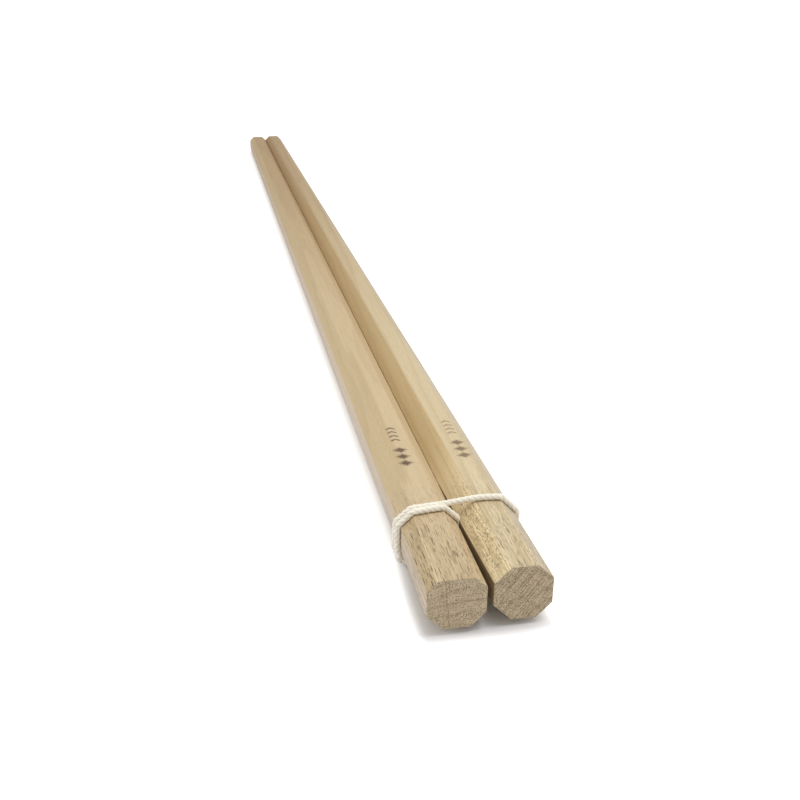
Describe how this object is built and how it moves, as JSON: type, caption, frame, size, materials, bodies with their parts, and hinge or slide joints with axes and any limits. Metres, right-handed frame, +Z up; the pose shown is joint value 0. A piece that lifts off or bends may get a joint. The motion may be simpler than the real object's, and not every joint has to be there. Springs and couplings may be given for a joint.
{
  "type": "pair of cooking chopsticks",
  "caption": "Long tapered eight-sided wooden cooking chopsticks lying side by side, bound together near their thick ends with thin white cotton twine.",
  "frame": {"origin": "on the table under the middle of the pair", "axes": "+Z up, +Y along the sticks from the thick butts to the thin tips, +X to the right seen from the butts"},
  "size_m": [0.0229, 0.3306, 0.0119],
  "materials": {
    "left_wood": "bare planed light hardwood",
    "right_wood": "bare planed light hardwood",
    "twine": "undyed twisted cotton twine"
  },
  "bodies": {
    "root": {"left_stick": "left_wood", "right_stick": "right_wood", "binding_twine": "twine"}
  },
  "joints": []
}
